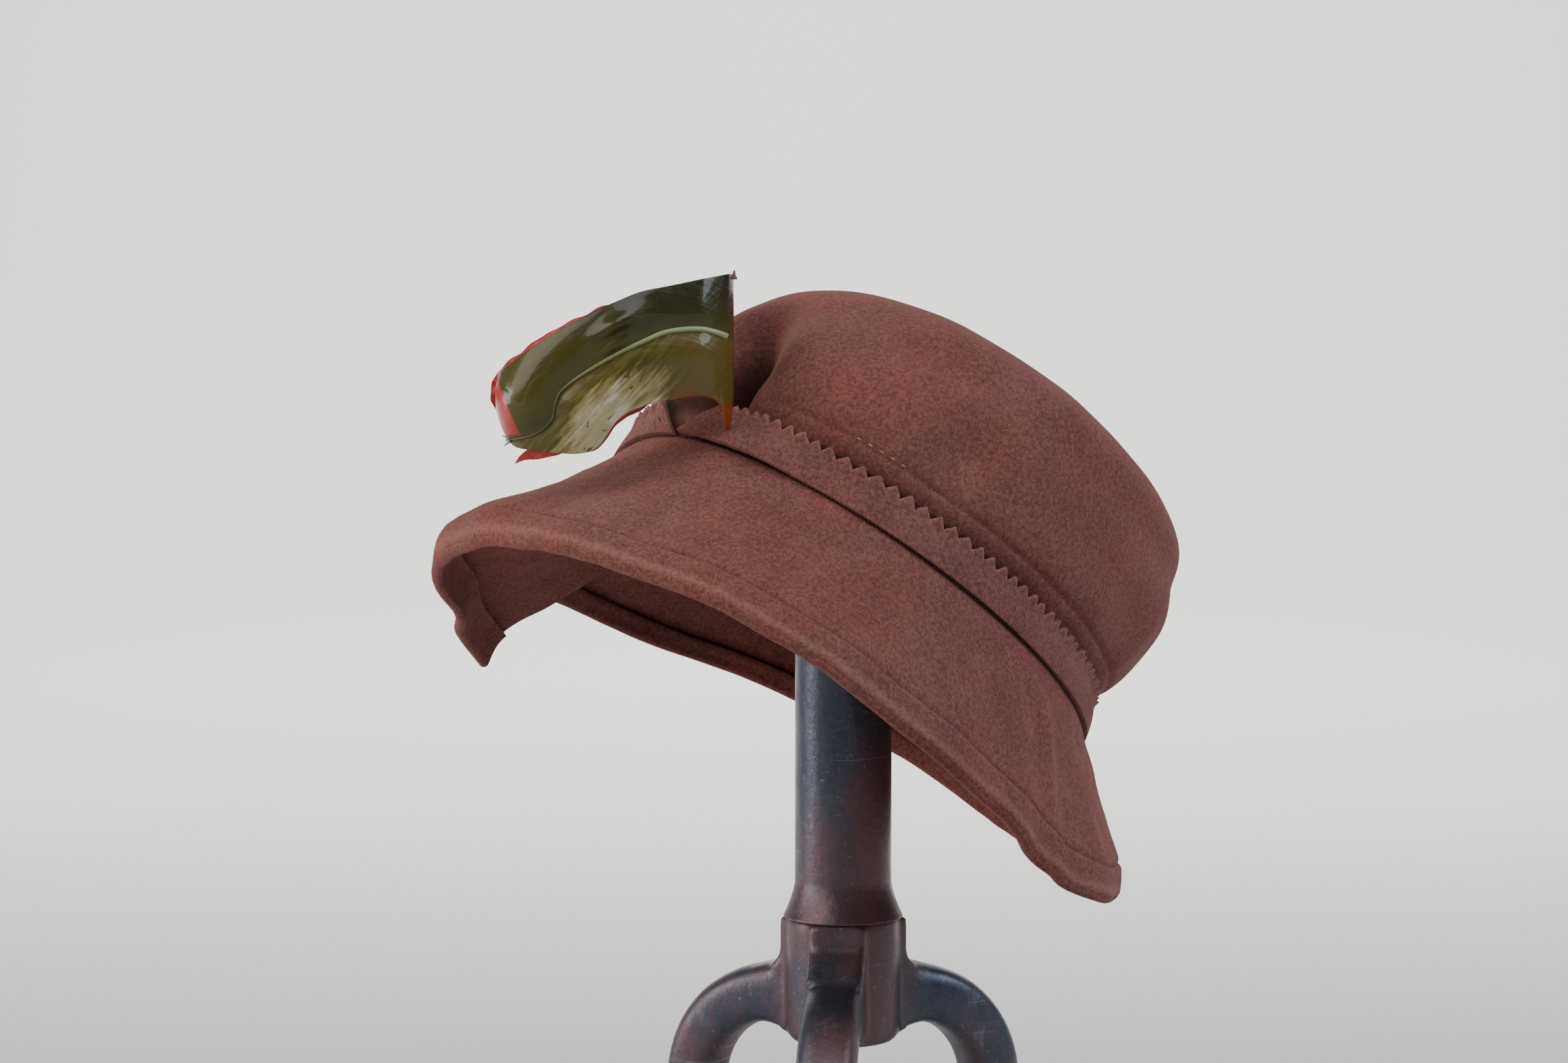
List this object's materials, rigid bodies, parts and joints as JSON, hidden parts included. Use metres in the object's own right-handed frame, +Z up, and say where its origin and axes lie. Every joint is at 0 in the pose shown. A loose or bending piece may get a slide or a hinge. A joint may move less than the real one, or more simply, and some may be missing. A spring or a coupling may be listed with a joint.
{
  "type": "felt cloche hat on a cast iron stand",
  "caption": "Soft felt cloche hat with a deep turned-down brim, a pinked band and a glossy leaf, tipped over the post of a small cast-iron tripod stand.",
  "frame": {"origin": "on the floor under the feet, below the middle of the whole part's outline seen from above", "axes": "+Z up along the post, -Y towards the viewer, where the hat's forehead and one leg point, +X to the viewer's right"},
  "size_m": [0.2422, 0.2332, 0.3158],
  "materials": {
    "brick_felt": "fuzzy wool felt",
    "band_felt": "fuzzy wool felt",
    "dark_piping": "satin cord",
    "glossy_leaf": "glossy, dyed",
    "red_bract": "glossy, dyed",
    "pale_midrib": "glossy, dyed",
    "patinated_iron": "dark patina"
  },
  "bodies": {
    "root": {"crown": "brick_felt", "hat_band": "band_felt", "piping": "dark_piping", "front_brim": "brick_felt", "back_brim": "brick_felt", "leaf": "glossy_leaf", "leaf_bract": "red_bract", "leaf_midrib": "pale_midrib", "stand_post": "patinated_iron", "stand_base": "patinated_iron"}
  },
  "joints": []
}
